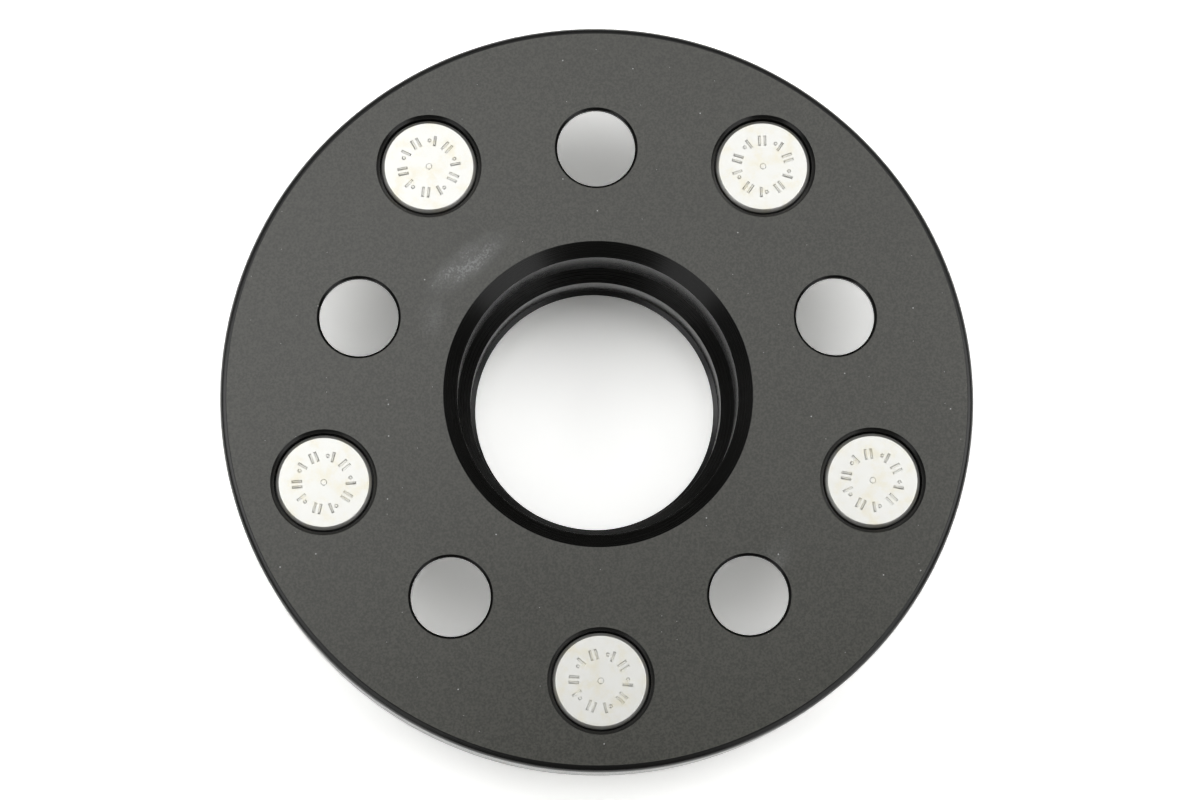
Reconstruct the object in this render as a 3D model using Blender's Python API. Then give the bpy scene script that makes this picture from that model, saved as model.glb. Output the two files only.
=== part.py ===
"""Bolt-on wheel spacer: a black anodised aluminium disc with five pressed-in wheel studs.

The disc bolts to a hub through five open holes on a 100 mm circle. The wheel then fits over a
centring lip and five studs on a 114.3 mm circle.

Metres, +Z up. The spacer stands on the tips of its studs with its hub face up. The origin is on
the axis of the bore, level with the stud tips. Depths are measured down from the hub face.
"""
import math

import bmesh
import bpy

# Disc
DISC_DIAMETER = 0.150
DISC_THICKNESS = 0.015
RIM_ROUND = 0.00135

# Bore that fits over the hub's own lip
HUB_BORE_DIAMETER = 0.0561
BORE_LEAD = 0.00275  # width and depth of the 45 degree lead-in at the hub face

# Lip that centres the wheel
LIP_DIAMETER = 0.0560
LIP_HEIGHT = 0.0092
LIP_WALL = 0.00255
LIP_ROOT_WALL = 0.00134  # metal left between the step in the bore and the lip's root
LIP_LEAD = 0.0010
LIP_LEDGE_WIDTH = 0.0010  # inward ledge at the lip's end
LIP_LEDGE_DROP = 0.0006
LIP_LEDGE_LAND = 0.0004

# Both sets of holes repeat this many times round the disc
FASTENER_COUNT = 5

# Open holes that take the hub's own studs and nuts
OPEN_PITCH_DIAMETER = 0.100
OPEN_FIRST_ANGLE = 90.0  # degrees
OPEN_HOLE_DIAMETER = 0.0157
OPEN_CHAMFER = 0.0005
OPEN_LAND = 0.0010
NUT_SEAT_ANGLE = 60.0  # degrees, the whole cone
NUT_SEAT_WIDTH = 0.00265
SOCKET_CLEARANCE = 0.0025  # from the nut seat's edge out to the pocket's wall
POCKET_CHAMFER = 0.0005

# Wheel studs, which stand halfway between the open holes
STUD_PITCH_DIAMETER = 0.1143
STUD_REACH = 0.028  # from the wheel face to the stud's tip
THREAD_DIAMETER = 0.012
THREAD_PITCH = 0.0015
THREAD_DEPTH = 0.00092
HEAD_DIAMETER = 0.0189
HEAD_THICKNESS = 0.0035
HEAD_RECESS = 0.0004
HEAD_EDGE_CHAMFER = 0.0006
KNURL_DIAMETER = 0.0143
KNURL_TEETH = 32
KNURL_TOOTH_HEIGHT = 0.00035
KNURL_SETBACK = 0.0015  # the knurl stops this far inside the wheel face
KNURL_LEAD = 0.0005
NECK_RELIEF = 0.0009
NECK_LENGTH = 0.0020
THREAD_LEAD = 0.0009
POINT_DIAMETER = 0.0096
POINT_LENGTH = 0.0024
POINT_CHAMFER = 0.0008

# Clearances
HEAD_CLEARANCE = 0.00045
COUNTERBORE_CHAMFER = 0.00065
SEAT_GAP = 0.0003
KNURL_GAP = 0.0003
STUD_EXIT_CHAMFER = 0.0005

# Facets
DISC_SEGMENTS = 96
HOLE_SEGMENTS = 32
ROUND_STEPS = 3
THREAD_ROWS = 2  # in one pitch: a crest and a root
THREAD_END = 0.00002  # what would end nearer than this to the thread's end stops right on it
OVERCUT = 0.001
SHARP_ANGLE = 30.0  # degrees
MERGE_DISTANCE = 0.0000001

# Levels that several pieces share
WHEEL_FACE_Z = STUD_REACH
HUB_FACE_Z = WHEEL_FACE_Z + DISC_THICKNESS
SEAT_DEPTH = HEAD_RECESS + HEAD_THICKNESS


def clear_scene():
    for item in list(bpy.data.objects):
        bpy.data.objects.remove(item, do_unlink=True)


def principled(name, colour, roughness, metallic):
    material = bpy.data.materials.new(name)
    material.use_nodes = True
    shader = material.node_tree.nodes["Principled BSDF"]
    shader.inputs["Base Color"].default_value = (*colour, 1.0)
    shader.inputs["Roughness"].default_value = roughness
    shader.inputs["Metallic"].default_value = metallic
    return material


def black_anodised():
    return principled("black anodised aluminium", (0.052, 0.051, 0.047), 0.42, 0.35)


def bright_zinc():
    return principled("bright zinc on steel", (0.78, 0.77, 0.73), 0.28, 1.0)


def finish_object(name, bm, material):
    """Turns a bmesh into a smooth-shaded object that keeps its crisp edges."""
    mesh = bpy.data.meshes.new(name)
    bm.to_mesh(mesh)
    bm.free()
    mesh.shade_smooth()
    mesh.set_sharp_from_angle(angle=math.radians(SHARP_ANGLE))
    if material is not None:
        mesh.materials.append(material)
    item = bpy.data.objects.new(name, mesh)
    bpy.context.scene.collection.objects.link(item)
    return item


def turn(profile, segments, closed):
    """Spins a profile of (radius, depth) points round the Z axis into a closed skin."""
    bm = bmesh.new()
    points = [bm.verts.new((radius, 0.0, HUB_FACE_Z - depth)) for radius, depth in profile]
    edges = [bm.edges.new(pair) for pair in zip(points, points[1:])]
    if closed:
        edges.append(bm.edges.new((points[-1], points[0])))
    bmesh.ops.spin(bm, geom=points + edges, cent=(0, 0, 0), axis=(0, 0, 1),
                   angle=math.tau, steps=segments, use_merge=True)
    bmesh.ops.remove_doubles(bm, verts=bm.verts, dist=MERGE_DISTANCE)
    bmesh.ops.recalc_face_normals(bm, faces=bm.faces)
    return bm


def on_circle(pitch_diameter, index, first_angle):
    """The place of one hole or stud on its pitch circle."""
    angle = math.radians(first_angle + index * 360.0 / FASTENER_COUNT)
    return (pitch_diameter / 2 * math.cos(angle), pitch_diameter / 2 * math.sin(angle), 0.0)


def open_hole_places():
    return [on_circle(OPEN_PITCH_DIAMETER, i, OPEN_FIRST_ANGLE) for i in range(FASTENER_COUNT)]


def stud_places():
    first = OPEN_FIRST_ANGLE + 180.0 / FASTENER_COUNT
    return [on_circle(STUD_PITCH_DIAMETER, i, first) for i in range(FASTENER_COUNT)]


def rim_round(centre_depth, first_angle):
    """Points of a quarter circle round the rim, from the given angle towards the wheel face."""
    points = []
    for step in range(ROUND_STEPS + 1):
        angle = math.radians(first_angle - 90.0 * step / ROUND_STEPS)
        radius = DISC_DIAMETER / 2 - RIM_ROUND + RIM_ROUND * math.cos(angle)
        points.append((radius, centre_depth - RIM_ROUND * math.sin(angle)))
    return points


def disc_profile():
    """The disc's section, from the bore's edge on the hub face out and round."""
    bore = HUB_BORE_DIAMETER / 2
    lip = LIP_DIAMETER / 2
    lip_bore = lip - LIP_WALL
    lip_end = DISC_THICKNESS + LIP_HEIGHT
    # The step is a 45 degree cone, so radius and depth add up to the same value all along it
    cone_sum = lip + DISC_THICKNESS - LIP_ROOT_WALL * math.sqrt(2)
    ledge = lip_bore - LIP_LEDGE_WIDTH
    return [
        (bore + BORE_LEAD, 0.0),
        *rim_round(RIM_ROUND, 90.0),
        *rim_round(DISC_THICKNESS - RIM_ROUND, 0.0),
        (lip, DISC_THICKNESS),
        (lip, lip_end - LIP_LEAD),
        (lip - LIP_LEAD, lip_end),
        (ledge, lip_end),
        (ledge, lip_end - LIP_LEDGE_LAND),
        (lip_bore, lip_end - LIP_LEDGE_LAND - LIP_LEDGE_DROP),
        (lip_bore, cone_sum - lip_bore),
        (bore, cone_sum - bore),
        (bore, BORE_LEAD),
    ]


def open_hole_profile():
    """A clearance hole, the nut's conical seat below it, and a pocket for nut and socket."""
    hole = OPEN_HOLE_DIAMETER / 2
    seat = hole + NUT_SEAT_WIDTH
    pocket = seat + SOCKET_CLEARANCE
    seat_top = OPEN_CHAMFER + OPEN_LAND
    seat_end = seat_top + NUT_SEAT_WIDTH / math.tan(math.radians(NUT_SEAT_ANGLE / 2))
    far = DISC_THICKNESS + OVERCUT
    return [
        (0.0, -OVERCUT),
        (hole + OPEN_CHAMFER + OVERCUT, -OVERCUT),
        (hole, OPEN_CHAMFER),
        (hole, seat_top),
        (seat, seat_end),
        (pocket, seat_end),
        (pocket, DISC_THICKNESS - POCKET_CHAMFER),
        (pocket + POCKET_CHAMFER + OVERCUT, far),
        (0.0, far),
    ]


def stud_hole_profile():
    """A counterbore for the head over a hole for the knurl."""
    head = HEAD_DIAMETER / 2 + HEAD_CLEARANCE
    shank = KNURL_DIAMETER / 2 + KNURL_GAP
    seat = SEAT_DEPTH + SEAT_GAP
    far = DISC_THICKNESS + OVERCUT
    return [
        (0.0, -OVERCUT),
        (head + COUNTERBORE_CHAMFER + OVERCUT, -OVERCUT),
        (head, COUNTERBORE_CHAMFER),
        (head, seat),
        (shank, seat),
        (shank, DISC_THICKNESS - STUD_EXIT_CHAMFER),
        (shank + STUD_EXIT_CHAMFER + OVERCUT, far),
        (0.0, far),
    ]


def add_cutter(name, profile, place):
    cutter = finish_object(name, turn(profile, HOLE_SEGMENTS, closed=False), None)
    cutter.location = place
    cutter.hide_render = True
    cutter.display_type = "WIRE"
    return cutter


def cut(item, cutter):
    boolean = item.modifiers.new(cutter.name, "BOOLEAN")
    boolean.operation = "DIFFERENCE"
    boolean.solver = "EXACT"
    boolean.object = cutter


def make_spacer_body(material):
    """One turned disc with its lip, drilled for the open holes and the studs."""
    body = finish_object("spacer_body", turn(disc_profile(), DISC_SEGMENTS, closed=True), material)
    for number, place in enumerate(open_hole_places(), 1):
        cut(body, add_cutter(f"open_hole_cutter_{number}", open_hole_profile(), place))
    for number, place in enumerate(stud_places(), 1):
        cut(body, add_cutter(f"stud_hole_cutter_{number}", stud_hole_profile(), place))
    return body


def head_rings():
    """Radius and depth down the head, with its top edge chamfered."""
    radius = HEAD_DIAMETER / 2
    return [
        (radius - HEAD_EDGE_CHAMFER, HEAD_RECESS),
        (radius, HEAD_RECESS + HEAD_EDGE_CHAMFER),
        (radius, SEAT_DEPTH),
    ]


def point_rings():
    """Radius and depth down the plain point."""
    radius = POINT_DIAMETER / 2
    tip = DISC_THICKNESS + STUD_REACH
    return [
        (radius, tip - POINT_LENGTH),
        (radius, tip - POINT_CHAMFER),
        (radius - POINT_CHAMFER, tip),
    ]


def add_ring(bm, radius, depth, tooth_height=0.0):
    """A ring of points; a tooth height adds a raised point between each two of them."""
    teeth = tooth_height > 0.0
    count = KNURL_TEETH * 2 if teeth else KNURL_TEETH
    ring = []
    for index in range(count):
        angle = math.tau * index / count
        reach = radius + tooth_height * (index % 2) if teeth else radius
        point = (reach * math.cos(angle), reach * math.sin(angle), HUB_FACE_Z - depth)
        ring.append(bm.verts.new(point))
    return ring


def join_rings(bm, upper, lower):
    """Faces between two rings, of which one may have twice the points of the other."""
    steps = min(len(upper), len(lower))
    above = len(upper) // steps
    below = len(lower) // steps
    for index in range(steps):
        top = [upper[(index * above + k) % len(upper)] for k in range(above + 1)]
        bottom = [lower[(index * below + k) % len(lower)] for k in range(below + 1)]
        bm.faces.new(bottom + top[::-1])


def skin_rings(bm, rings):
    for upper, lower in zip(rings, rings[1:]):
        join_rings(bm, upper, lower)


def knurl_rings(bm):
    """The knurled shoulder between the head and the neck."""
    root = KNURL_DIAMETER / 2 - KNURL_TOOTH_HEIGHT
    end = DISC_THICKNESS - KNURL_SETBACK
    return [
        add_ring(bm, root, SEAT_DEPTH, KNURL_TOOTH_HEIGHT),
        add_ring(bm, root, end - KNURL_LEAD, KNURL_TOOTH_HEIGHT),
        add_ring(bm, root - KNURL_LEAD, end),
    ]


def thread_spot(row, climb, top, bottom):
    """Radius and depth of a point of the thread, cut back by the cones at its two ends."""
    depth = bottom[1] - climb
    if depth < top[1] + THREAD_END:
        return top
    if depth > bottom[1] - THREAD_END:
        return bottom
    crest = THREAD_DIAMETER / 2
    radius = crest - THREAD_DEPTH * (row % THREAD_ROWS)
    for end_radius, end_depth in (top, bottom):
        lead = (crest - end_radius) * abs(depth - end_depth) / THREAD_LEAD
        radius = min(radius, end_radius + lead)
    return radius, depth


def thread_columns(bm, top, bottom):
    """Points of the right-handed thread: one list for each column, from the bottom up.

    top and bottom are the radius and depth of the rings that the thread runs out into. Rows climb
    by one pitch in a turn. Rows past either end are held there and merge with each other later.
    """
    turns = math.ceil((bottom[1] - top[1]) / THREAD_PITCH) + 2
    grid = []
    for column in range(KNURL_TEETH):
        angle = math.tau * column / KNURL_TEETH
        points = []
        for row in range(turns * THREAD_ROWS):
            climb = (row / THREAD_ROWS - 1 + column / KNURL_TEETH) * THREAD_PITCH
            radius, depth = thread_spot(row, climb, top, bottom)
            point = (radius * math.cos(angle), radius * math.sin(angle), HUB_FACE_Z - depth)
            points.append(bm.verts.new(point))
        grid.append(points)
    return grid


def skin_thread(bm, grid):
    """Faces between neighbouring columns. Past the last column the rows have climbed by one pitch."""
    last = len(grid[0]) - 1
    for column, points in enumerate(grid):
        wraps = column + 1 == len(grid)
        beside = grid[0] if wraps else grid[column + 1]
        shift = THREAD_ROWS if wraps else 0
        for row in range(last):
            low = min(row + shift, last)
            high = min(low + 1, last)
            corners = [points[row], beside[low], beside[high], points[row + 1]]
            bm.faces.new(dict.fromkeys(corners))


def make_stud(name, place, material):
    """A wheel stud: round head, knurled shoulder, neck, threaded length and plain point."""
    neck = THREAD_DIAMETER / 2 - NECK_RELIEF
    neck_top = DISC_THICKNESS - KNURL_SETBACK
    thread_top = (neck, neck_top + NECK_LENGTH - THREAD_LEAD)
    thread_bottom, *point = point_rings()
    bm = bmesh.new()
    grid = thread_columns(bm, thread_top, thread_bottom)
    upper = [add_ring(bm, radius, depth) for radius, depth in head_rings()]
    upper += knurl_rings(bm)
    upper += [add_ring(bm, neck, neck_top), [points[-1] for points in grid]]
    lower = [[points[0] for points in grid]]
    lower += [add_ring(bm, radius, depth) for radius, depth in point]
    skin_rings(bm, upper)
    skin_thread(bm, grid)
    skin_rings(bm, lower)
    bm.faces.new(upper[0])
    bm.faces.new(lower[-1][::-1])
    bmesh.ops.remove_doubles(bm, verts=bm.verts, dist=MERGE_DISTANCE)
    stud = finish_object(name, bm, material)
    stud.location = place
    return stud


def main():
    clear_scene()
    make_spacer_body(black_anodised())
    zinc = bright_zinc()
    for number, place in enumerate(stud_places(), 1):
        make_stud(f"stud_{number}", place, zinc)


main()
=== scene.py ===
"""Looks for a bolt-on wheel spacer, laid out as an add-on and run as a script.

The disc gets its anodised finishes and softened edges. The studs get their threads, knurls and
pressed marks. A floor, soft lamps and a camera go with them. Metres, with depths measured down
from the hub face.
"""

import math

import bmesh
import bpy
from bpy.props import FloatProperty, FloatVectorProperty, IntProperty, PointerProperty
from mathutils import Matrix, Vector


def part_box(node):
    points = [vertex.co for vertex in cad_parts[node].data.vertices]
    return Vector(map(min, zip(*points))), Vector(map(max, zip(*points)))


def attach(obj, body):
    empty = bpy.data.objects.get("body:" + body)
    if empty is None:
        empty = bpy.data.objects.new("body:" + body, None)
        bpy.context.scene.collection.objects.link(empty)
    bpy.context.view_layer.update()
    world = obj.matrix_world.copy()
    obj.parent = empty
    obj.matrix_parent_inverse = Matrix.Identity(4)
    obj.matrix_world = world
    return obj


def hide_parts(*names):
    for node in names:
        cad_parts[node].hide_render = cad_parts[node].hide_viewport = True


bl_info = {
    "name": "Wheel spacer",
    "version": (1, 0, 0),
    "blender": (4, 5, 0),
    "location": "3D View > Sidebar > Wheel spacer",
    "description": "Dresses a bolt-on wheel spacer and sets it under soft light",
    "category": "Object",
}

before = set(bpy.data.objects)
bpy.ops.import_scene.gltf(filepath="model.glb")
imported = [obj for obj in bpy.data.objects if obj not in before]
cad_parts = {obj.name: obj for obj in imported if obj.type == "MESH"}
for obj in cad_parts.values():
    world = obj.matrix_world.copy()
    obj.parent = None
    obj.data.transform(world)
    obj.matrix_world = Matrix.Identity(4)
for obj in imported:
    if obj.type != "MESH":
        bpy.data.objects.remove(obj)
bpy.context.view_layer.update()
DISC_LOW, DISC_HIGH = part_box("spacer_body")
STUD_NODES = sorted(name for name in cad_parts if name.startswith("stud_"))
STUD_LOW, STUD_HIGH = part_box(STUD_NODES[0])

BODY = "root"
MM = 0.001
HUB_FACE_Z = DISC_HIGH.z
OVERCUT = 1.0 * MM
MERGE_DISTANCE = 0.0001 * MM
SHARP_ANGLE = math.radians(38)
ARC_STEPS = 5
ARC_REACH = 0.45  # an arc takes at most this share of the edges beside it
BUTTON_SEGMENTS = 24
FLAT_NORMAL = 0.999  # a flat face's normal has at least this much along Z
FLAT_DEPTH = 0.1 * MM  # and the face lies within this of the hub face or the wheel face
SENSOR_WIDTH = 36.0  # millimetres, as the lens is

# Each stud went in at its own angle, in degrees
FIRST_STUD_ANGLE = 47.0
NEXT_STUD_ANGLE = 137.0

# One turn of a rolled metric thread: share of the pitch, and share of the thread's depth
THREAD_SHAPE = (
    (0.000, 0.93),
    (0.030, 1.00),
    (0.095, 1.00),
    (0.125, 0.93),
    (0.430, 0.10),
    (0.490, 0.02),
    (0.5625, 0.00),
    (0.635, 0.02),
    (0.695, 0.10),
)
# One tooth of the knurl, as shares of its height
KNURL_SHAPE = (0.0, 0.7, 1.0, 0.7)

# How fine each pattern in the finishes is, in waves per metre
BLAST_GRAIN = 2500.0
BLAST_PITS = 4200.0
BLAST_CLOUDS = 22.0
SCUFF_CLOUDS = 300.0
SCUFF_SPECKLE = 2400.0
TOOL_LINES = 9000.0
TURNED_CLOUDS = 60.0
ZINC_TINT = 260.0
ZINC_MOTTLE = 1500.0
ZINC_PITS = 3200.0

# The darkest and the palest shade of a finish, as shares of its colour
BLAST_SHADES = (0.66, 1.34)
TURNED_SHADES = (0.8, 1.2)

# How strongly each finish mirrors
BLAST_IOR = 1.6
TURNED_IOR = 1.42
ZINC_METALLIC = 0.9

# Rub marks on the hub face: centre, angle in degrees, length, width and strength
SCUFFS = (
    ((-26.2 * MM, 26.2 * MM), 38.0, 12.0 * MM, 4.2 * MM, 0.75),
    ((34.5 * MM, -33.5 * MM), 60.0, 7.0 * MM, 4.0 * MM, 0.20),
    ((-33.0 * MM, 15.5 * MM), 80.0, 6.0 * MM, 3.5 * MM, 0.22),
)
# Dust: the size of a cell, the radius of a speck, and the share of the cells that hold one
DUST_LAYERS = (
    (7.0 * MM, 0.13 * MM, 0.10),
    (3.0 * MM, 0.07 * MM, 0.05),
)

# Soft panels: name, bearing and height in degrees, distance, sides, and brightness
LAMPS = (
    ("top panel", 92.0, 69.0, 1.3, (1.7, 0.75), 0.83),
)
# Panels that only show as reflections
MIRRORED_LAMPS = (
    ("top left panel", 170.0, 72.0, 1.3, (0.9, 0.7), 0.54),
    ("left side panel", 174.0, 47.0, 1.3, (0.5, 1.0), 3.0),
    ("right side panel", 6.0, 49.0, 1.3, (0.5, 1.0), 2.8),
    ("near left panel", 218.0, 45.0, 1.3, (0.8, 0.8), 1.4),
    ("near right panel", 322.0, 45.0, 1.3, (0.8, 0.8), 1.25),
    ("low left panel", 227.0, 15.0, 1.0, (0.5, 0.36), 1.0),
    ("low right panel", 314.0, 15.0, 1.0, (0.6, 0.36), 1.4),
)
# Panels that only light matt surfaces
MATT_LAMPS = (
    ("key panel", 90.0, 86.0, 1.2, (1.3, 0.6), 2.15),
    ("left fill", 175.0, 47.0, 1.2, (0.9, 0.5), 2.9),
    ("right fill", 5.0, 47.0, 1.2, (0.9, 0.5), 2.8),
    ("near fill", 270.0, 25.0, 1.2, (1.2, 0.5), 2.0),
)
# Where the room's light changes, as the Z or the Y part of a direction of length 1
ROOM_RISE = (0.05, 0.35)
ROOM_SHADE = (0.20, -0.05)


def size(name, description, value):
    """A length property whose default is given in metres."""
    return FloatProperty(name=name, description=description, default=value, min=0.0, unit="LENGTH",
                         precision=5)


def share(name, description, value):
    return FloatProperty(name=name, description=description, default=value, min=0.0, max=1.0,
                         subtype="FACTOR")


def colour(name, description, value):
    return FloatVectorProperty(name=name, description=description, default=value, size=3,
                               min=0.0, max=1.0, subtype="COLOR")


def place(name, description, value):
    return FloatVectorProperty(name=name, description=description, default=value, size=3,
                               subtype="TRANSLATION", unit="LENGTH")


class DiscSizes(bpy.types.PropertyGroup):
    """Sizes of the turned disc, its lip and its holes."""

    diameter: size("Diameter", "Across the rim", DISC_HIGH.x - DISC_LOW.x)
    thickness: size("Thickness", "From the hub face to the wheel face", 15.0 * MM)
    rim_round: size("Rim round", "Radius of the rim's edges", 1.35 * MM)
    edge_round: size("Edge round", "Radius of the softened turned edges", 0.12 * MM)
    hub_bore: size("Hub bore", "Diameter of the bore over the hub's lip", 56.1 * MM)
    bore_lead: size("Bore lead-in", "Width and depth of the lead-in cone", 2.75 * MM)
    lip_diameter: size("Lip diameter", "Outside of the lip that centres the wheel", 56.0 * MM)
    lip_end: size("Lip end", "Depth of the lip's end below the hub face", DISC_HIGH.z - DISC_LOW.z)
    lip_wall: size("Lip wall", "Thickness of the lip's wall", 2.55 * MM)
    lip_root_wall: size("Lip root wall", "Metal between the bore's step and the lip's root", 1.34 * MM)
    lip_lead: size("Lip lead", "Chamfer at the lip's end", 1.0 * MM)
    ledge_width: size("Ledge width", "Inward ledge at the lip's end", 1.0 * MM)
    ledge_drop: size("Ledge drop", "Slope of the ledge", 0.6 * MM)
    ledge_land: size("Ledge land", "Straight wall below the ledge", 0.4 * MM)
    open_pitch: size("Open hole circle", "Pitch circle of the open holes", 100.0 * MM)
    open_hole: size("Open hole", "Diameter of each open hole", 15.7 * MM)
    open_chamfer: size("Open hole chamfer", "At the hub face", 0.5 * MM)
    open_land: size("Open hole land", "Straight wall above the nut's seat", 1.0 * MM)
    seat_angle: FloatProperty(name="Nut seat angle", description="Whole angle of the conical seat",
                              default=math.radians(60), subtype="ANGLE")
    seat_width: size("Nut seat width", "Width of the conical seat", 2.65 * MM)
    socket_clearance: size("Socket clearance", "From the seat to the pocket's wall", 2.5 * MM)
    pocket_chamfer: size("Pocket chamfer", "At the wheel face", 0.5 * MM)
    head_clearance: size("Head clearance", "Round each stud's head", 0.45 * MM)
    counterbore_chamfer: size("Counterbore chamfer", "Round each head", 0.65 * MM)
    seat_gap: size("Seat gap", "Below each stud's head", 0.3 * MM)
    knurl_gap: size("Knurl gap", "Round each stud's knurl", 0.3 * MM)
    exit_chamfer: size("Exit chamfer", "Where each stud leaves the wheel face", 0.5 * MM)
    disc_segments: IntProperty(name="Disc facets", description="Facets round the disc", default=288)
    hole_segments: IntProperty(name="Hole facets", description="Facets round a hole", default=80)


class StudSizes(bpy.types.PropertyGroup):
    """Sizes of the pressed-in wheel studs."""

    head_diameter: size("Head diameter", "Across the round head", STUD_HIGH.x - STUD_LOW.x)
    head_thickness: size("Head thickness", "Height of the head", 3.5 * MM)
    head_recess: size("Head recess", "Depth of the head below the hub face", HUB_FACE_Z - STUD_HIGH.z)
    head_chamfer: size("Head chamfer", "Width of the chamfer round the head", 0.6 * MM)
    edge_round: size("Edge round", "Radius of the head's softened edges", 0.10 * MM)
    knurl_diameter: size("Knurl diameter", "Over the knurl's teeth", 14.3 * MM)
    knurl_height: size("Knurl height", "Height of the knurl's teeth", 0.35 * MM)
    knurl_setback: size("Knurl setback", "From the wheel face to the knurl's end", 1.5 * MM)
    knurl_lead: size("Knurl lead", "Chamfer at the knurl's end", 0.5 * MM)
    knurl_teeth: IntProperty(name="Knurl teeth", description="Teeth round the knurl", default=32)
    neck_relief: size("Neck relief", "How far the neck lies below the thread", 0.9 * MM)
    neck_length: size("Neck length", "From the knurl to the thread", 2.0 * MM)
    thread_diameter: size("Thread diameter", "Over the thread's crests", 12.0 * MM)
    thread_pitch: size("Thread pitch", "From crest to crest", 1.5 * MM)
    thread_depth: size("Thread depth", "From crest to root", 0.92 * MM)
    thread_lead: size("Thread lead", "Chamfer at both ends of the thread", 0.9 * MM)
    point_diameter: size("Point diameter", "Plain point below the thread", 9.6 * MM)
    point_length: size("Point length", "Length of the plain point", 2.4 * MM)
    point_chamfer: size("Point chamfer", "Chamfer round the tip", 0.8 * MM)
    point_round: size("Point round", "Radius of the point's softened edges", 0.2 * MM)
    mark_count: IntProperty(name="Mark count", description="Pressed marks round each head", default=10)
    mark_circle: size("Mark circle", "Middle radius of the ring of marks", 5.3 * MM)
    mark_length: size("Mark length", "Length of each bar where it meets the head", 2.1 * MM)
    mark_width: size("Mark width", "Width of each bar where it meets the head", 0.60 * MM)
    mark_height: size("Mark height", "How far the marks stand up", 0.25 * MM)
    mark_spread: size("Mark spread", "Between the middles of a pair of marks", 1.1 * MM)
    mark_button: size("Mark button", "Radius of the button beside a single bar", 0.42 * MM)
    centre_button: size("Centre button", "Radius of the small button in the middle", 0.65 * MM)
    centre_height: size("Centre button height", "How far the middle button stands up", 0.15 * MM)


class FinishColours(bpy.types.PropertyGroup):
    """Colours and gloss of the finishes."""

    face: colour("Blasted face", "Black anodise on the blasted faces", (0.0375, 0.0375, 0.0305))
    turned: colour("Turned surfaces", "Black anodise on the turned surfaces", (0.0028, 0.0028, 0.0024))
    scuff: colour("Scuff", "Pale rub marks on the hub face", (0.24, 0.245, 0.245))
    dust: colour("Dust", "Specks of dust", (0.34, 0.34, 0.33))
    zinc: colour("Zinc", "Bright zinc plate", (0.80, 0.80, 0.765))
    zinc_tint: colour("Zinc tint", "Yellowish tint in the zinc", (0.76, 0.72, 0.57))
    face_roughness: share("Face roughness", "Of the blasted faces", 0.24)
    turned_roughness: share("Turned roughness", "Of the turned surfaces", 0.27)
    zinc_roughness: share("Zinc roughness", "Of the zinc plate", 0.34)


class StageSettings(bpy.types.PropertyGroup):
    """Floor, lamps and camera."""

    floor: colour("Floor", "Colour of the floor", (0.95, 0.95, 0.94))
    floor_lift: share("Floor lift", "How much brighter the floor looks than it lights", 0.75)
    floor_size: size("Floor size", "Side of the square floor", 12.0)
    surround: FloatProperty(name="Surround", description="Brightness of the room, 1 is white",
                            default=0.35, min=0.0)
    surround_low: FloatProperty(name="Low surround", description="Brightness near the floor",
                                default=0.15, min=0.0)
    surround_shade: share("Surround shade", "How much of the room's light its near side lacks", 0.75)
    camera_place: place("Camera place", "Where the camera stands", (-0.02406, -0.10889, 0.69769))
    camera_aim: place("Camera aim", "The point that it looks at", (0.00030, -0.00142, 0.04300))
    camera_roll: FloatProperty(name="Camera roll", description="Turn about its own line of sight",
                               default=math.radians(0.516), subtype="ANGLE")
    lens: FloatProperty(name="Lens", description="Focal length in millimetres", default=100.3)


class Signal:
    """A shader value. An expression on it adds the Math nodes that work it out."""

    def __init__(self, tree, socket):
        self.tree = tree
        self.socket = socket

    def __add__(self, other):
        return self.tree.maths("ADD", self, other)

    __radd__ = __add__

    def __sub__(self, other):
        return self.tree.maths("SUBTRACT", self, other)

    def __rsub__(self, other):
        return self.tree.maths("SUBTRACT", other, self)

    def __mul__(self, other):
        return self.tree.maths("MULTIPLY", self, other)

    __rmul__ = __mul__

    def __lt__(self, other):
        return self.tree.maths("LESS_THAN", self, other)


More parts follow.
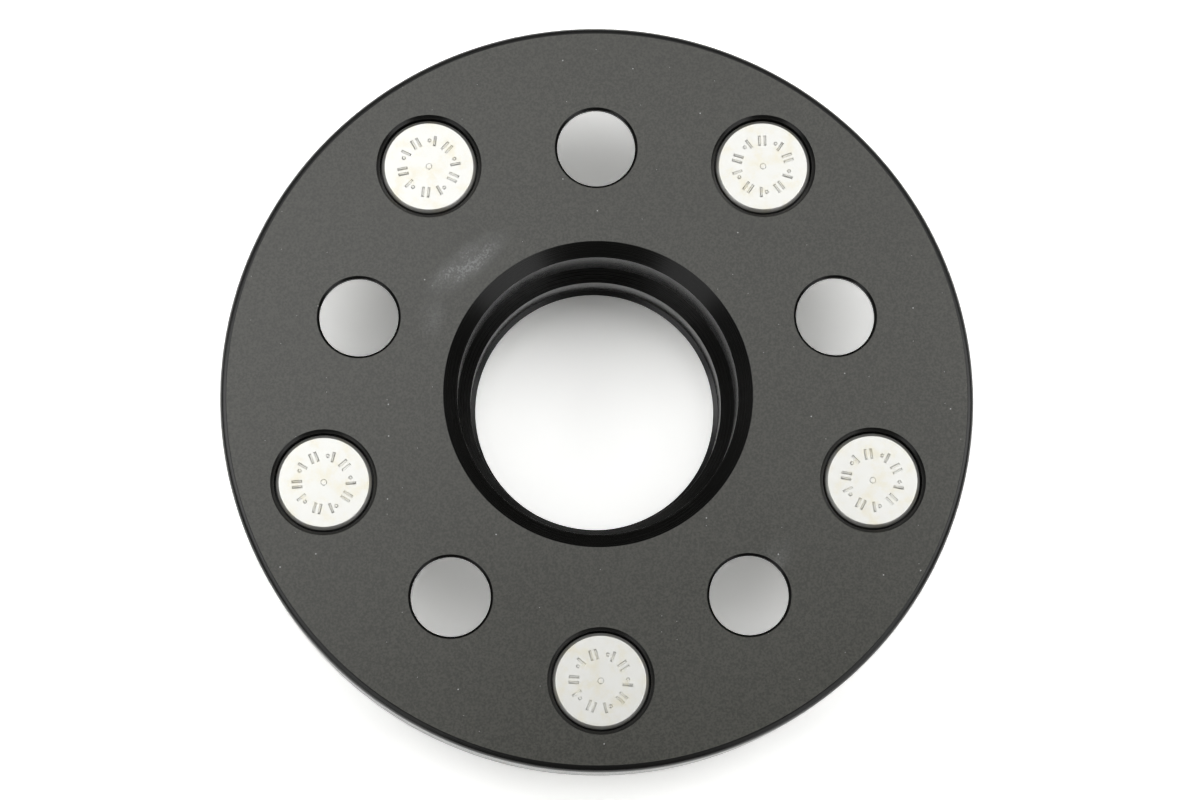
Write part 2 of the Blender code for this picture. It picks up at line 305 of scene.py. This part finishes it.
class Tree:
    """The nodes of one material or world, added by calls and by expressions."""

    def __init__(self, owner):
        owner.use_nodes = True
        self.nodes = owner.node_tree.nodes
        self.links = owner.node_tree.links
        self.nodes.clear()

    def feed(self, socket, value):
        """Links a signal to a socket, or sets the socket to a plain value."""
        if isinstance(value, Signal):
            self.links.new(value.socket, socket)
        elif hasattr(value, "__len__") and len(socket.default_value) == len(value) + 1:
            socket.default_value = (*value, 1.0)
        else:
            socket.default_value = value

    def add(self, kind, settings=None, inputs=None, output=0):
        """Adds a node: its type, its settings, then the values or links of its sockets."""
        node = self.nodes.new(kind)
        for name, value in (settings or {}).items():
            setattr(node, name, value)
        for name, value in (inputs or {}).items():
            self.feed(node.inputs[name], value)
        if not node.outputs:
            return node
        return Signal(self, node.outputs[output])

    def maths(self, operation, *values):
        return self.add("ShaderNodeMath", {"operation": operation}, dict(enumerate(values)))

    def vector(self, operation, *values, output=0):
        return self.add("ShaderNodeVectorMath", {"operation": operation}, dict(enumerate(values)), output)

    def blend(self, factor, first, second):
        """A colour between two others. A Mix node's sockets for colours are numbered 6 and 7."""
        inputs = {0: factor, 6: first, 7: second}
        return self.add("ShaderNodeMix", {"data_type": "RGBA"}, inputs, output=2)

    def ease(self, value, start, end):
        """0 up to start, 1 from end on, and smooth between them. Start may be the larger one."""
        inputs = {0: value, 1: start, 2: end}
        return self.add("ShaderNodeMapRange", {"interpolation_type": "SMOOTHSTEP"}, inputs)

    def noise(self, where, scale, detail=2.0, roughness=0.5):
        inputs = {"Vector": where, "Scale": scale, "Detail": detail, "Roughness": roughness}
        return self.add("ShaderNodeTexNoise", None, inputs)

    def bump(self, height, strength, distance):
        inputs = {"Height": height, "Strength": strength, "Distance": distance}
        return self.add("ShaderNodeBump", None, inputs)

    def principled(self, **sockets):
        """The surface shader. Socket names have underscores for spaces."""
        inputs = {name.replace("_", " "): value for name, value in sockets.items()}
        shader = self.add("ShaderNodeBsdfPrincipled", None, inputs)
        self.add("ShaderNodeOutputMaterial", None, {"Surface": shader})


def object_place(tree):
    return tree.add("ShaderNodeTexCoord", output="Object")


def shades(colour, limits):
    """The darkest and the palest shade of a colour."""
    return [[part * limit for part in colour] for limit in limits]


def scuff_mask(tree, where, centre, angle, length, width):
    """A soft cloud of rubbed-off gloss on the hub face, finely speckled. The angle is in degrees."""
    away = tree.vector("SUBTRACT", where, (*centre, HUB_FACE_Z))
    turned = {"Vector": away, "Angle": -math.radians(angle)}
    along = tree.add("ShaderNodeVectorRotate", {"rotation_type": "Z_AXIS"}, turned)
    shape = tree.vector("MULTIPLY", along, (1 / length, 1 / width, 1 / length))
    body = 1 - tree.ease(tree.vector("LENGTH", shape, output="Value"), 0.05, 1.0)
    drawn_out = tree.vector("MULTIPLY", along, (0.5, 1.0, 1.0))
    clouds = tree.ease(tree.noise(drawn_out, SCUFF_CLOUDS, detail=3.0), 0.30, 0.65)
    speckle = tree.ease(tree.noise(where, SCUFF_SPECKLE), 0.40, 0.70)
    return body * (clouds * 0.7 + 0.3) * (speckle * 0.6 + 0.4)


def dust_mask(tree, where, spacing, radius, share_kept):
    """Sparse round specks on a flat face: one cell in a few holds a speck."""
    flat = tree.vector("MULTIPLY", where, (1.0, 1.0, 0.0))
    inputs = {"Vector": flat, "Scale": 1 / spacing}
    settings = {"voronoi_dimensions": "2D"}
    distance = tree.add("ShaderNodeTexVoronoi", settings, inputs, output="Distance")
    cell = tree.add("ShaderNodeTexVoronoi", settings, inputs, output="Color")
    chance = tree.add("ShaderNodeSeparateColor", None, {"Color": cell}, output="Red")
    return (distance < radius / spacing) * (chance < share_kept)


def blasted_anodise(colours):
    """Satin black anodise over bead blasting, with faint rub marks and dust."""
    material = bpy.data.materials.new("blasted black anodise")
    tree = Tree(material)
    where = object_place(tree)
    grain = tree.noise(where, BLAST_GRAIN, detail=1.0)
    clouds = tree.noise(where, BLAST_CLOUDS, detail=3.0)
    speckle = tree.ease(grain, 0.30, 0.70) * 0.80 + clouds * 0.20
    shade = tree.blend(speckle, *shades(colours.face, BLAST_SHADES))
    rubs = sum(scuff_mask(tree, where, *shape) * strength for *shape, strength in SCUFFS)
    shade = tree.blend(rubs, shade, colours.scuff)
    specks = tree.maths("MAXIMUM", *[dust_mask(tree, where, *layer) for layer in DUST_LAYERS])
    shade = tree.blend(specks, shade, colours.dust)
    rough = colours.face_roughness + (clouds - 0.5) * 0.08 + rubs * 0.15
    pits = tree.noise(where, BLAST_PITS)
    normal = tree.bump(grain * 0.6 + pits * 0.4, 0.20, 0.03 * MM)
    tree.principled(Base_Color=shade, Roughness=rough, Normal=normal, IOR=BLAST_IOR)
    return material


def turned_anodise(colours):
    """Glossy black anodise over a lathe-turned surface with fine tool lines."""
    material = bpy.data.materials.new("turned black anodise")
    tree = Tree(material)
    where = object_place(tree)
    height = tree.add("ShaderNodeSeparateXYZ", None, {"Vector": where}, output="Z")
    lines = tree.add("ShaderNodeTexNoise", {"noise_dimensions": "1D"},
                     {"W": height, "Scale": TOOL_LINES, "Detail": 3.0})
    clouds = tree.noise(where, TURNED_CLOUDS, detail=3.0)
    rough = colours.turned_roughness + (clouds - 0.5) * 0.04 + (lines - 0.5) * 0.04
    shade = tree.blend(clouds, *shades(colours.turned, TURNED_SHADES))
    normal = tree.bump(lines, 0.08, 0.005 * MM)
    tree.principled(Base_Color=shade, Roughness=rough, Normal=normal, IOR=TURNED_IOR)
    return material


def bright_zinc(colours):
    """Zinc plate over forged steel: bright, slightly mottled, with a faint yellow tint."""
    material = bpy.data.materials.new("bright zinc plate")
    tree = Tree(material)
    where = object_place(tree)
    tint = tree.ease(tree.noise(where, ZINC_TINT, detail=4.0, roughness=0.6), 0.42, 0.74)
    shade = tree.blend(tint * 0.75, colours.zinc, colours.zinc_tint)
    mottle = tree.noise(where, ZINC_MOTTLE, detail=4.0, roughness=0.65)
    rough = colours.zinc_roughness + (mottle - 0.5) * 0.16
    pits = tree.noise(where, ZINC_PITS, detail=3.0)
    normal = tree.bump(mottle * 0.7 + pits * 0.3, 0.30, 0.04 * MM)
    tree.principled(Base_Color=shade, Roughness=rough, Normal=normal, Metallic=ZINC_METALLIC)
    return material


def rounded(corners, radius, closed):
    """An outline with its corners turned into arcs. A third number is a corner's own radius."""
    spots = [Vector(corner[:2]) for corner in corners]
    outline = []
    for index, spot in enumerate(spots):
        if not closed and index in (0, len(spots) - 1):
            outline.append(spot)
            continue
        before = spots[index - 1] - spot
        after = spots[(index + 1) % len(spots)] - spot
        half = before.angle(after) / 2
        own = corners[index][2] if len(corners[index]) > 2 else radius
        reach = min(own / math.tan(half), ARC_REACH * before.length, ARC_REACH * after.length)
        middle = (before.normalized() + after.normalized()).normalized()
        centre = spot + middle * reach / math.cos(half)
        start = spot + before.normalized() * reach - centre
        end = spot + after.normalized() * reach - centre
        for step in range(ARC_STEPS + 1):
            outline.append(centre + start.slerp(end, step / ARC_STEPS) * start.length)
    return outline


def turn(bm, outline, segments, closed, centre=(0.0, 0.0)):
    """Spins an outline of (radius, depth) points round an upright axis into a closed skin."""
    middle = Vector((*centre, 0.0))
    points = [bm.verts.new(middle + Vector((radius, 0.0, HUB_FACE_Z - depth))) for radius, depth in outline]
    edges = [bm.edges.new(pair) for pair in zip(points, points[1:])]
    if closed:
        edges.append(bm.edges.new((points[-1], points[0])))
    bmesh.ops.spin(bm, geom=points + edges, cent=middle, axis=(0, 0, 1), angle=math.tau,
                   steps=segments, use_merge=True)


def tidy(bm):
    bmesh.ops.remove_doubles(bm, verts=bm.verts, dist=MERGE_DISTANCE)
    bmesh.ops.recalc_face_normals(bm, faces=bm.faces)


def new_object(name, bm, materials=()):
    mesh = bpy.data.meshes.new(name)
    bm.to_mesh(mesh)
    bm.free()
    for material in materials:
        mesh.materials.append(material)
    item = bpy.data.objects.new(name, mesh)
    bpy.context.scene.collection.objects.link(item)
    return item


def combine(item, other, operation):
    """Cuts another object from this one, or joins it on, and removes the other."""
    boolean = item.modifiers.new(other.name, "BOOLEAN")
    boolean.operation = operation
    boolean.solver = "EXACT"
    boolean.object = other
    graph = bpy.context.evaluated_depsgraph_get()
    mesh = bpy.data.meshes.new_from_object(item.evaluated_get(graph))
    item.modifiers.clear()
    item.data = mesh
    bpy.data.objects.remove(other, do_unlink=True)


def smooth_with_flat_faces(item):
    """Smooth shading that keeps large faces flat beside their rounded edges."""
    item.data.shade_smooth()
    item.data.set_sharp_from_angle(angle=SHARP_ANGLE)
    weighted = item.modifiers.new("flat faces", "WEIGHTED_NORMAL")
    weighted.keep_sharp = True


def finish_piece(item, node):
    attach(item, BODY)
    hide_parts(node)


def stud_centre(node):
    low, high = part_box(node)
    return (low + high) / 2


def disc_outline(disc):
    """The disc's section, from the bore's edge on the hub face out and round."""
    rim = disc.diameter / 2
    bore = disc.hub_bore / 2
    lip = disc.lip_diameter / 2
    lip_bore = lip - disc.lip_wall
    # The step is a 45 degree cone, so radius and depth add up to the same value all along it
    cone_sum = lip + disc.thickness - disc.lip_root_wall * math.sqrt(2)
    ledge = lip_bore - disc.ledge_width
    ledge_end = disc.lip_end - disc.ledge_land
    return [
        (bore + disc.bore_lead, 0.0),
        (rim, 0.0, disc.rim_round),
        (rim, disc.thickness, disc.rim_round),
        (lip, disc.thickness),
        (lip, disc.lip_end - disc.lip_lead),
        (lip - disc.lip_lead, disc.lip_end),
        (ledge, disc.lip_end),
        (ledge, ledge_end),
        (lip_bore, ledge_end - disc.ledge_drop),
        (lip_bore, cone_sum - lip_bore),
        (bore, cone_sum - bore),
        (bore, disc.bore_lead),
    ]


def open_hole_outline(disc):
    """A clearance hole, the nut's conical seat below it, and a pocket for nut and socket."""
    hole = disc.open_hole / 2
    seat = hole + disc.seat_width
    pocket = seat + disc.socket_clearance
    seat_top = disc.open_chamfer + disc.open_land
    seat_end = seat_top + disc.seat_width / math.tan(disc.seat_angle / 2)
    far = disc.thickness + OVERCUT
    return [
        (0.0, -OVERCUT),
        (hole + disc.open_chamfer + OVERCUT, -OVERCUT),
        (hole, disc.open_chamfer),
        (hole, seat_top),
        (seat, seat_end),
        (pocket, seat_end),
        (pocket, disc.thickness - disc.pocket_chamfer),
        (pocket + disc.pocket_chamfer + OVERCUT, far),
        (0.0, far),
    ]


def stud_hole_outline(disc, stud):
    """A counterbore for the head over a hole for the knurl."""
    head = stud.head_diameter / 2 + disc.head_clearance
    shank = stud.knurl_diameter / 2 + disc.knurl_gap
    seat = stud.head_recess + stud.head_thickness + disc.seat_gap
    far = disc.thickness + OVERCUT
    return [
        (0.0, -OVERCUT),
        (head + disc.counterbore_chamfer + OVERCUT, -OVERCUT),
        (head, disc.counterbore_chamfer),
        (head, seat),
        (shank, seat),
        (shank, disc.thickness - disc.exit_chamfer),
        (shank + disc.exit_chamfer + OVERCUT, far),
        (0.0, far),
    ]


def drill(disc, stud):
    """One object with the shape of every hole."""
    bm = bmesh.new()
    stud_hole = rounded(stud_hole_outline(disc, stud), disc.edge_round, closed=False)
    open_hole = rounded(open_hole_outline(disc), disc.edge_round, closed=False)
    for node in STUD_NODES:
        centre = stud_centre(node).xy
        turn(bm, stud_hole, disc.hole_segments, False, centre)
        # An open hole lies opposite each stud, across the middle
        opposite = -centre.normalized() * disc.open_pitch / 2
        turn(bm, open_hole, disc.hole_segments, False, opposite)
    tidy(bm)
    return new_object("holes", bm)


def paint_disc(item, disc):
    """The flat faces keep the blasted finish, and the rest is turned."""
    for face in item.data.polygons:
        depth = HUB_FACE_Z - face.center.z
        near = min(depth, abs(depth - disc.thickness)) < FLAT_DEPTH
        face.material_index = 0 if near and abs(face.normal.z) > FLAT_NORMAL else 1


class SPACER_OT_make_disc(bpy.types.Operator):
    """Build the anodised disc with its lip and holes"""

    bl_idname = "spacer.make_disc"
    bl_label = "Make disc"

    def execute(self, context):
        disc = context.scene.spacer_disc
        stud = context.scene.spacer_stud
        colours = context.scene.spacer_colours
        bm = bmesh.new()
        turn(bm, rounded(disc_outline(disc), disc.edge_round, closed=True), disc.disc_segments, True)
        tidy(bm)
        finishes = [blasted_anodise(colours), turned_anodise(colours)]
        item = new_object("anodised_disc", bm, finishes)
        combine(item, drill(disc, stud), "DIFFERENCE")
        paint_disc(item, disc)
        smooth_with_flat_faces(item)
        finish_piece(item, "spacer_body")
        return {"FINISHED"}


def head_rings(stud):
    """Radius and depth down the head, with its top edge chamfered."""
    radius = stud.head_diameter / 2
    base = stud.head_recess + stud.head_thickness
    corners = [
        (0.0, stud.head_recess),
        (radius - stud.head_chamfer, stud.head_recess),
        (radius, stud.head_recess + stud.head_chamfer),
        (radius, base),
        (0.0, base),
    ]
    return [tuple(spot) for spot in rounded(corners, stud.edge_round, closed=False)[1:-1]]


def knurl_rings(disc, stud):
    """Radius, depth and tooth height down the knurled shoulder."""
    root = stud.knurl_diameter / 2 - stud.knurl_height
    top = stud.head_recess + stud.head_thickness
    end = disc.thickness - stud.knurl_setback
    return [
        (root, top, stud.knurl_height),
        (root, end - stud.knurl_lead, stud.knurl_height),
        (root - stud.knurl_lead, end, 0.0),
    ]


def tip_rings(stud, tip):
    """Radius and depth round the plain point, with its edges softened."""
    point = stud.point_diameter / 2
    corners = [
        (point, tip - stud.point_length),
        (point, tip - stud.point_chamfer),
        (point - stud.point_chamfer, tip),
        (0.0, tip),
    ]
    return [tuple(spot) for spot in rounded(corners, stud.point_round, closed=False)[:-1]]


def add_ring(bm, columns, radius, depth, tooth=0.0):
    """A ring of points, with knurl teeth of the given height if there is one."""
    ring = []
    for column in range(columns):
        angle = math.tau * column / columns
        reach = radius + tooth * KNURL_SHAPE[column % len(KNURL_SHAPE)]
        ring.append(bm.verts.new((reach * math.cos(angle), reach * math.sin(angle), -depth)))
    return ring


def thread_columns(bm, columns, stud, top, bottom):
    """Points of a right-handed thread between two depths: one list for each column, from the bottom up.

    Rows climb by one pitch in a turn. They start a turn below the bottom and end past the top, and
    what lies past either end is held there and merges later.
    """
    crest = stud.thread_diameter / 2
    pitch = stud.thread_pitch
    end_radius = crest - stud.thread_lead
    turns = math.ceil((bottom - top) / pitch) + 2
    grid = []
    for column in range(columns):
        angle = math.tau * column / columns
        points = []
        for row in range(turns * len(THREAD_SHAPE)):
            turn_number, phase = divmod(row, len(THREAD_SHAPE))
            along, height = THREAD_SHAPE[phase]
            climb = (turn_number - 1 + along + column / columns) * pitch
            depth = min(max(bottom - climb, top), bottom)
            inset = stud.thread_depth * (1 - height)
            from_end = min(depth - top, bottom - depth)
            radius = min(crest - inset, end_radius + from_end)
            if from_end == 0.0:
                radius = end_radius
            points.append(bm.verts.new((radius * math.cos(angle), radius * math.sin(angle), -depth)))
        grid.append(points)
    return grid


def skin_thread(bm, grid):
    """Faces between neighbouring columns; past the last one the rows have climbed by one pitch."""
    rows = len(grid[0])
    for column, points in enumerate(grid):
        wraps = column + 1 == len(grid)
        beside = grid[0] if wraps else grid[column + 1]
        shift = len(THREAD_SHAPE) if wraps else 0
        for row in range(rows - 1):
            low = min(row + shift, rows - 1)
            high = min(row + shift + 1, rows - 1)
            corners = [points[row], beside[low], beside[high], points[row + 1]]
            unique = list(dict.fromkeys(corners))
            if len(unique) > 2:
                bm.faces.new(unique)


def skin_rings(bm, rings):
    for upper, lower in zip(rings, rings[1:]):
        for index in range(len(upper)):
            after = (index + 1) % len(upper)
            bm.faces.new((lower[index], lower[after], upper[after], upper[index]))


def stud_blank(disc, stud):
    """The forged stud with its knurl and thread, standing on its own axis."""
    bm = bmesh.new()
    columns = stud.knurl_teeth * len(KNURL_SHAPE)
    tip = HUB_FACE_Z - STUD_LOW.z
    neck = stud.thread_diameter / 2 - stud.neck_relief
    thread_top = disc.thickness - stud.knurl_setback + stud.neck_length - stud.thread_lead
    thread_bottom = tip - stud.point_length
    upper = [add_ring(bm, columns, *ring) for ring in head_rings(stud) + knurl_rings(disc, stud)]
    upper.append(add_ring(bm, columns, neck, disc.thickness - stud.knurl_setback))
    grid = thread_columns(bm, columns, stud, thread_top, thread_bottom)
    upper.append([points[-1] for points in grid])
    skin_rings(bm, upper)
    bm.faces.new(upper[0])
    skin_thread(bm, grid)
    lower = [[points[0] for points in grid]]
    lower += [add_ring(bm, columns, *ring) for ring in tip_rings(stud, tip)]
    skin_rings(bm, lower)
    bm.faces.new(lower[-1][::-1])
    tidy(bm)
    return bm


def add_bar(bm, stud, bearing, sideways):
    """A low bar that points outwards from the head's middle. Its lower half is sunk into the head.

    Its sides slope at 45 degrees, so its top is smaller and its base larger than its nominal size.
    """
    made = bmesh.ops.create_cube(bm, size=1.0)["verts"]
    slope = 2 * stud.mark_height
    for vert in made:
        top = vert.co.z > 0
        length = stud.mark_length - slope if top else stud.mark_length + slope
        width = stud.mark_width - slope if top else stud.mark_width + slope
        spot = Vector((vert.co.x * length, vert.co.y * width, 2 * vert.co.z * stud.mark_height))
        spot += Vector((stud.mark_circle, sideways, -stud.head_recess))
        vert.co = Matrix.Rotation(bearing, 3, "Z") @ spot


def add_button(bm, radius, height, spot):
    """A low round button with a sloping edge, half of it sunk into the head."""
    bmesh.ops.create_cone(bm, cap_ends=True, segments=BUTTON_SEGMENTS, radius1=radius + height,
                          radius2=radius - height, depth=2 * height, matrix=Matrix.Translation(spot))


def head_marks(stud):
    """Plain pressed marks in a ring: pairs of bars, and single bars with a button beside them."""
    bm = bmesh.new()
    top = -stud.head_recess
    half = stud.mark_spread / 2
    for number in range(stud.mark_count):
        bearing = math.tau * number / stud.mark_count
        add_bar(bm, stud, bearing, -half)
        if number % 2 == 0:
            add_bar(bm, stud, bearing, half)
        else:
            spot = Matrix.Rotation(bearing, 4, "Z") @ Vector((stud.mark_circle, half, top))
            add_button(bm, stud.mark_button, stud.mark_height, spot)
    add_button(bm, stud.centre_button, stud.centre_height, Vector((0.0, 0.0, top)))
    tidy(bm)
    return new_object("marks", bm)


class SPACER_OT_make_studs(bpy.types.Operator):
    """Build the zinc-plated studs with their threads, knurls and pressed marks"""

    bl_idname = "spacer.make_studs"
    bl_label = "Make studs"

    def execute(self, context):
        disc = context.scene.spacer_disc
        stud = context.scene.spacer_stud
        finish = bright_zinc(context.scene.spacer_colours)
        first = new_object("wheel_stud_1", stud_blank(disc, stud), [finish])
        combine(first, head_marks(stud), "UNION")
        smooth_with_flat_faces(first)
        copies = [first.copy() for _ in STUD_NODES[1:]]
        for number, item in enumerate(copies, 2):
            item.name = f"wheel_stud_{number}"
            context.scene.collection.objects.link(item)
        for number, (item, node) in enumerate(zip([first, *copies], STUD_NODES)):
            item.location = (*stud_centre(node).xy, HUB_FACE_Z)
            item.rotation_euler.z = math.radians(FIRST_STUD_ANGLE + NEXT_STUD_ANGLE * number)
            finish_piece(item, node)
        return {"FINISHED"}


def add_lamp(name, bearing, height, distance, sides, brightness, mirrored=True, matt=True):
    """A soft panel that faces the disc. Bearing runs from +X, and height is above the horizon.

    A brightness of 1 looks white when seen directly. A panel that isn't mirrored shows in no glossy
    surface, and one that isn't matt lights no matt one.
    """
    lamp = bpy.data.lights.new(name, "AREA")
    lamp.shape = "RECTANGLE"
    lamp.size, lamp.size_y = sides
    lamp.energy = brightness * math.pi * sides[0] * sides[1]
    item = bpy.data.objects.new(name, lamp)
    around = Matrix.Rotation(math.radians(bearing), 3, "Z")
    away = around @ Matrix.Rotation(-math.radians(height), 3, "Y") @ Vector((1.0, 0.0, 0.0))
    item.location = Vector((0.0, 0.0, HUB_FACE_Z)) + away * distance
    item.rotation_euler = (-away).to_track_quat("-Z", "Y").to_euler()
    item.visible_glossy = mirrored
    item.visible_diffuse = matt
    bpy.context.scene.collection.objects.link(item)


def add_floor(stage):
    """A pale floor that looks brighter than it lights, so its white takes no more light."""
    bm = bmesh.new()
    bmesh.ops.create_grid(bm, x_segments=1, y_segments=1, size=stage.floor_size / 2)
    material = bpy.data.materials.new("pale floor")
    tree = Tree(material)
    seen = tree.add("ShaderNodeLightPath", output="Is Camera Ray")
    mirrored = tree.add("ShaderNodeLightPath", output="Is Glossy Ray")
    through = tree.add("ShaderNodeLightPath", output="Is Transmission Ray")
    lift = tree.maths("MAXIMUM", tree.maths("MAXIMUM", seen, mirrored), through) * stage.floor_lift
    pale = tree.vector("MULTIPLY", stage.floor, 1 + lift)
    matt = tree.add("ShaderNodeBsdfDiffuse", None, {"Color": pale})
    tree.add("ShaderNodeOutputMaterial", None, {"Surface": matt})
    floor = new_object("floor", bm, [material])


def add_surround(stage):
    """Grey light from the room, dimmer near the floor and on the near side, towards -Y."""
    world = bpy.data.worlds.new("room")
    bpy.context.scene.world = world
    tree = Tree(world)
    where = tree.add("ShaderNodeTexCoord", output="Generated")
    y = tree.add("ShaderNodeSeparateXYZ", None, {"Vector": where}, output="Y")
    z = tree.add("ShaderNodeSeparateXYZ", None, {"Vector": where}, output="Z")
    rise = tree.ease(z, *ROOM_RISE)
    level = stage.surround_low + rise * (stage.surround - stage.surround_low)
    strength = level * (1 - tree.ease(y, *ROOM_SHADE) * stage.surround_shade)
    grey = tree.add("ShaderNodeBackground", None, {"Color": (1.0, 1.0, 1.0), "Strength": strength})
    tree.add("ShaderNodeOutputWorld", None, {"Surface": grey})


def add_camera(stage):
    """The photograph's view: almost straight down on the hub face."""
    camera = bpy.data.cameras.new("camera")
    camera.lens = stage.lens
    camera.sensor_width = SENSOR_WIDTH
    item = bpy.data.objects.new("camera", camera)
    bpy.context.scene.collection.objects.link(item)
    spot = Vector(stage.camera_place)
    ahead = (Vector(stage.camera_aim) - spot).normalized()
    right = ahead.cross(Vector((0.0, 1.0, 0.0))).normalized()
    up = right.cross(ahead)
    facing = Matrix((right, up, -ahead)).transposed()
    roll = Matrix.Rotation(-stage.camera_roll, 3, "Z")
    item.matrix_world = Matrix.Translation(spot) @ (facing @ roll).to_4x4()
    bpy.context.scene.camera = item


class SPACER_OT_make_stage(bpy.types.Operator):
    """Build the floor, the lamps, the room's light and the camera"""

    bl_idname = "spacer.make_stage"
    bl_label = "Make stage"

    def execute(self, context):
        stage = context.scene.spacer_stage
        add_floor(stage)
        add_surround(stage)
        for lamp in LAMPS:
            add_lamp(*lamp)
        for lamp in MIRRORED_LAMPS:
            add_lamp(*lamp, matt=False)
        for lamp in MATT_LAMPS:
            add_lamp(*lamp, mirrored=False)
        add_camera(stage)
        context.scene.view_settings.view_transform = "Standard"
        return {"FINISHED"}


class SPACER_PT_panel(bpy.types.Panel):
    """Lists what can be made, and the sizes and colours behind it"""

    bl_idname = "SPACER_PT_panel"
    bl_label = "Wheel spacer"
    bl_space_type = "VIEW_3D"
    bl_region_type = "UI"
    bl_category = "Wheel spacer"

    def draw(self, context):
        layout = self.layout
        for operator in OPERATORS:
            layout.operator(operator.bl_idname)
        for name in GROUPS:
            settings = getattr(context.scene, name)
            box = layout.box()
            for key in settings.__annotations__:
                box.prop(settings, key)


OPERATORS = (SPACER_OT_make_disc, SPACER_OT_make_studs, SPACER_OT_make_stage)
GROUPS = {
    "spacer_disc": DiscSizes,
    "spacer_stud": StudSizes,
    "spacer_colours": FinishColours,
    "spacer_stage": StageSettings,
}


def register():
    for item in (*GROUPS.values(), *OPERATORS, SPACER_PT_panel):
        bpy.utils.register_class(item)
    for name, group in GROUPS.items():
        setattr(bpy.types.Scene, name, PointerProperty(type=group))


def unregister():
    for name in GROUPS:
        delattr(bpy.types.Scene, name)
    for item in reversed((*GROUPS.values(), *OPERATORS, SPACER_PT_panel)):
        bpy.utils.unregister_class(item)


def main():
    register()
    bpy.ops.spacer.make_disc()
    bpy.ops.spacer.make_studs()
    bpy.ops.spacer.make_stage()


if __name__ == "__main__":
    main()
